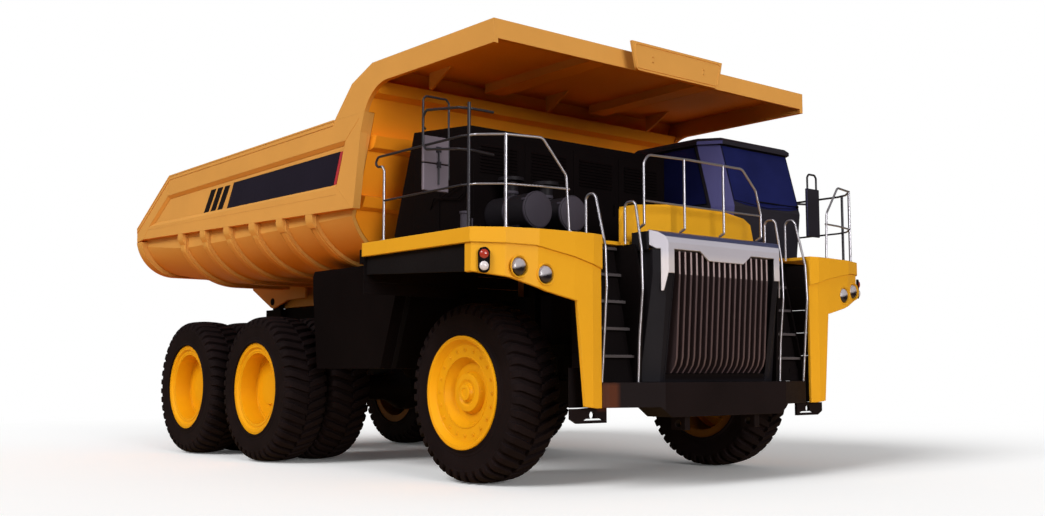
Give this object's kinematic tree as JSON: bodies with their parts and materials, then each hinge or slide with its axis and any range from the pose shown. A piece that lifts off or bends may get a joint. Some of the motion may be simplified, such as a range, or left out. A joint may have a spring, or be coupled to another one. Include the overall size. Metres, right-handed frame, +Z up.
{
  "type": "mining dump truck",
  "caption": "Rigid three-axle mining dump truck with a hinged canopied quarry body, steered front wheels, twin rear wheels and an opening cab door.",
  "frame": {"origin": "centre of the bounding box's bottom, on the ground under the truck", "axes": "+Z up, front of the truck at -Y, the driver's left side at +X"},
  "size_m": [6.608, 10.582, 5.11],
  "materials": {
    "tyre": "ribbed black rubber",
    "wheel_yellow": "gloss yellow paint",
    "body_yellow": "gloss orange-yellow paint",
    "deck_yellow": "gloss yellow paint",
    "sign_dark": "satin dark plate, bare",
    "frame_black": "satin black paint",
    "rail_silver": "silver paint and steel tube",
    "slat_satin": "satin dark grey",
    "cab_black": "satin black paint",
    "cab_glass": "tinted dark blue",
    "seat_fabric": "dark woven cover",
    "lamp_lens": "clear lens",
    "ram_chrome": "chromed rod",
    "tail_red": "red lens"
  },
  "bodies": {
    "chassis": {"air_cleaners": "frame_black", "bumper": "frame_black", "cab_glass": "cab_glass", "cab_roof": "cab_black", "cab_shell": "cab_black", "cowl": "deck_yellow", "dash": "cab_black", "deck": "deck_yellow", "deck_skirts": "frame_black", "deck_supports": "frame_black", "drive_shafts": "frame_black", "engine": "frame_black", "frame": "frame_black", "frame_crossmembers": "frame_black", "front_axle": "frame_black", "fuel_tank": "frame_black", "grab_rails": "rail_silver", "grille_slats": "slat_satin", "grille_surround": "rail_silver", "guardrails": "rail_silver", "headlamps": "lamp_lens", "housing": "frame_black", "hydraulic_tank": "frame_black", "ladders": "frame_black", "mirrors": "frame_black", "radiator": "frame_black", "rear_axles": "frame_black", "rear_suspension": "frame_black", "seat_base": "cab_black", "seat_cushions": "seat_fabric", "tail_lamps": "tail_red"},
    "bed": {"bed_canopy": "body_yellow", "bed_front_wall": "body_yellow", "bed_liner": "body_yellow", "bed_side_left": "body_yellow", "bed_side_right": "body_yellow", "bed_stringers": "body_yellow", "name_board": "body_yellow", "sign_panels": "sign_dark"},
    "cab_door": {"cab_door": "cab_black", "cab_door_glass": "cab_glass"},
    "steering_knuckle_left": {"knuckle_left": "frame_black"},
    "front_wheel_left": {"front_tyre_left": "tyre", "front_rim_left": "wheel_yellow"},
    "rear_wheel_1_left": {"rear_tyres_1_left": "tyre", "rear_rims_1_left": "wheel_yellow"},
    "rear_wheel_2_left": {"rear_tyres_2_left": "tyre", "rear_rims_2_left": "wheel_yellow"},
    "hoist_barrel_body_left": {"hoist_barrel_left": "frame_black"},
    "hoist_rod_body_left": {"hoist_rod_left": "ram_chrome"},
    "steering_knuckle_right": {"knuckle_right": "frame_black"},
    "front_wheel_right": {"front_tyre_right": "tyre", "front_rim_right": "wheel_yellow"},
    "rear_wheel_1_right": {"rear_tyres_1_right": "tyre", "rear_rims_1_right": "wheel_yellow"},
    "rear_wheel_2_right": {"rear_tyres_2_right": "tyre", "rear_rims_2_right": "wheel_yellow"},
    "hoist_barrel_body_right": {"hoist_barrel_right": "frame_black"},
    "hoist_rod_body_right": {"hoist_rod_right": "ram_chrome"}
  },
  "joints": [
    {"name": "bed_tilt", "type": "hinge", "parent": "chassis", "child": "bed", "pos_m": [0, 4.05, 2.45], "axis": [-1, 0, 0], "range_deg": [0, 45]},
    {"name": "cab_door_hinge", "type": "hinge", "parent": "chassis", "child": "cab_door", "pos_m": [2.716, -3.728, 3.45], "axis": [0, 0, -1], "range_deg": [0, 48]},
    {"name": "steer_left", "type": "hinge", "parent": "chassis", "child": "steering_knuckle_left", "pos_m": [1.56, -3.36, 1.025], "axis": [0, 0, 1], "range_deg": [-32, 32]},
    {"name": "front_wheel_left_spin", "type": "hinge", "parent": "steering_knuckle_left", "child": "front_wheel_left", "pos_m": [2.005, -3.36, 1.025], "axis": [1, 0, 0], "continuous": true},
    {"name": "rear_wheel_1_left_spin", "type": "hinge", "parent": "chassis", "child": "rear_wheel_1_left", "pos_m": [2, 1.138, 1.025], "axis": [1, 0, 0], "continuous": true},
    {"name": "rear_wheel_2_left_spin", "type": "hinge", "parent": "chassis", "child": "rear_wheel_2_left", "pos_m": [2, 3.416, 1.025], "axis": [1, 0, 0], "continuous": true},
    {"name": "hoist_left_swing", "type": "hinge", "parent": "chassis", "child": "hoist_barrel_body_left", "pos_m": [0.9, -0.4, 1.25], "axis": [1, 0, 0], "range_deg": [0, 19.4]},
    {"name": "hoist_left_extend", "type": "slide", "parent": "hoist_barrel_body_left", "child": "hoist_rod_body_left", "axis": [0, 0.8691, 0.4946], "range_m": [0, 1.7125]},
    {"name": "steer_right", "type": "hinge", "parent": "chassis", "child": "steering_knuckle_right", "pos_m": [-1.56, -3.36, 1.025], "axis": [0, 0, 1], "range_deg": [-32, 32]},
    {"name": "front_wheel_right_spin", "type": "hinge", "parent": "steering_knuckle_right", "child": "front_wheel_right", "pos_m": [-2.005, -3.36, 1.025], "axis": [1, 0, 0], "continuous": true},
    {"name": "rear_wheel_1_right_spin", "type": "hinge", "parent": "chassis", "child": "rear_wheel_1_right", "pos_m": [-2, 1.138, 1.025], "axis": [1, 0, 0], "continuous": true},
    {"name": "rear_wheel_2_right_spin", "type": "hinge", "parent": "chassis", "child": "rear_wheel_2_right", "pos_m": [-2, 3.416, 1.025], "axis": [1, 0, 0], "continuous": true},
    {"name": "hoist_right_swing", "type": "hinge", "parent": "chassis", "child": "hoist_barrel_body_right", "pos_m": [-0.9, -0.4, 1.25], "axis": [1, 0, 0], "range_deg": [0, 19.4]},
    {"name": "hoist_right_extend", "type": "slide", "parent": "hoist_barrel_body_right", "child": "hoist_rod_body_right", "axis": [0, 0.8691, 0.4946], "range_m": [0, 1.7125]}
  ],
  "couplings": [
    {"joint": "hoist_left_swing", "follows": "bed_tilt", "ratio": 0.43061},
    {"joint": "hoist_left_extend", "follows": "bed_tilt", "m_per_rad": 2.1792},
    {"joint": "hoist_right_swing", "follows": "bed_tilt", "ratio": 0.43061},
    {"joint": "hoist_right_extend", "follows": "bed_tilt", "m_per_rad": 2.1792},
    {"joint": "steer_right", "follows": "steer_left", "ratio": 1}
  ]
}
